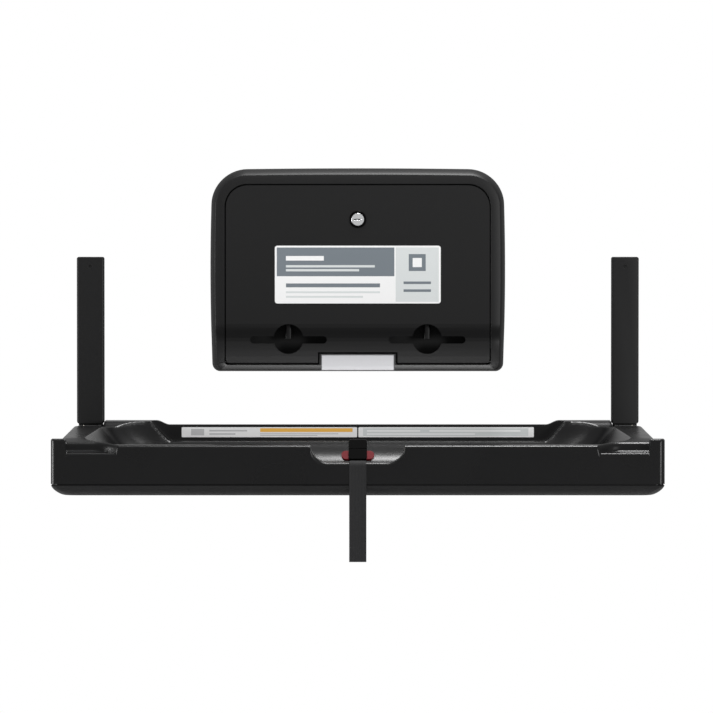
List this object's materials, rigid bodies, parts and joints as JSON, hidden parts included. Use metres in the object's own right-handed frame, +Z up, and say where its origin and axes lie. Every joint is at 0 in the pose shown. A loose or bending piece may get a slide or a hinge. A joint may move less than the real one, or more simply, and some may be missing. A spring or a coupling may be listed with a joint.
{
  "type": "baby changing station",
  "caption": "Wall-hung fold-down changing bed with a moulded bowl, safety strap and side-release buckle, on steel rails, under a lockable liner dispenser.",
  "frame": {"origin": "on the wall plane at mid width, at the height of the bed's hinge axis", "axes": "+X to the right as one faces the wall, +Y into the wall, +Z up; bed open at rest"},
  "size_m": [0.9, 0.5319, 0.575],
  "materials": {
    "black_plastic": "fine-grained moulded black polyethylene",
    "satin_plastic": "satin moulded black plastic",
    "black_steel": "black powder coat",
    "bare_steel": "zinc plated",
    "chrome": "polished",
    "badge": "satin, bare",
    "red_plastic": "semi-gloss red",
    "buckle_plastic": "black acetal",
    "webbing": "woven polypropylene webbing",
    "nylon": "natural nylon",
    "rubber": "moulded rubber"
  },
  "bodies": {
    "wall": {"wall_rail_left": "black_steel", "rail_cover_left": "black_steel", "cover_screw_left": "black_steel", "rail_bolt_left_1": "bare_steel", "rail_bolt_left_2": "bare_steel", "rail_bolt_left_3": "bare_steel", "hinge_pin_left": "bare_steel", "stop_pad_left": "rubber", "wall_rail_right": "black_steel", "rail_cover_right": "black_steel", "cover_screw_right": "black_steel", "rail_bolt_right_1": "bare_steel", "rail_bolt_right_2": "bare_steel", "rail_bolt_right_3": "bare_steel", "hinge_pin_right": "bare_steel", "stop_pad_right": "rubber", "dispenser_housing": "satin_plastic", "badge_plate": "badge", "housing_screw_left_1": "bare_steel", "housing_screw_left_2": "bare_steel", "housing_screw_right_1": "bare_steel", "housing_screw_right_2": "bare_steel", "door_pin_left": "black_steel", "door_pin_right": "black_steel"},
    "bed": {"bed_tray": "black_plastic", "bed_base": "black_plastic", "base_screw_left_1": "bare_steel", "base_screw_left_2": "bare_steel", "base_screw_right_1": "bare_steel", "base_screw_right_2": "bare_steel", "hinge_arm_left": "black_steel", "hinge_bush_left": "nylon", "damper_left": "black_steel", "arm_screw_left_1": "bare_steel", "arm_screw_left_2": "bare_steel", "hinge_arm_right": "black_steel", "hinge_bush_right": "nylon", "damper_right": "black_steel", "arm_screw_right_1": "bare_steel", "arm_screw_right_2": "bare_steel", "cross_tube": "black_steel", "strap_anchor": "buckle_plastic", "strap_rear": "webbing", "strap_front": "webbing", "buckle_plug": "buckle_plastic", "buckle_socket": "buckle_plastic"},
    "strap_tail": {"strap_tail": "webbing"},
    "door": {"dispenser_door": "satin_plastic", "lock_body": "black_steel", "lock_nut": "bare_steel"},
    "lock": {"lock_plug": "chrome", "lock_cam": "bare_steel", "cam_screw": "bare_steel"},
    "tab_left": {"buckle_tab_left": "red_plastic"},
    "tab_right": {"buckle_tab_right": "red_plastic"}
  },
  "joints": [
    {"name": "bed_fold", "type": "hinge", "parent": "wall", "child": "bed", "pos_m": [0, -0.028, 0], "axis": [-1, 0, 0], "range_deg": [0, 90]},
    {"name": "strap_tail_hang", "type": "hinge", "parent": "bed", "child": "strap_tail", "pos_m": [0, -0.5311, -0.0771], "axis": [-1, 0, 0], "range_deg": [-90, 0]},
    {"name": "door_open", "type": "hinge", "parent": "wall", "child": "door", "pos_m": [0, -0.0616, 0.1064], "axis": [-1, 0, 0], "range_deg": [-80, 0]},
    {"name": "lock_turn", "type": "hinge", "parent": "door", "child": "lock", "pos_m": [0, -0.06, 0.3249], "axis": [0, -1, 0], "range_deg": [0, 90]},
    {"name": "tab_left_press", "type": "slide", "parent": "bed", "child": "tab_left", "axis": [1, 0, 0], "range_m": [0, 0.004], "stiffness_N_per_m": 300},
    {"name": "tab_right_press", "type": "slide", "parent": "bed", "child": "tab_right", "axis": [-1, 0, 0], "range_m": [0, 0.004], "stiffness_N_per_m": 300}
  ],
  "couplings": [
    {"joint": "strap_tail_hang", "follows": "bed_fold", "ratio": -1}
  ]
}
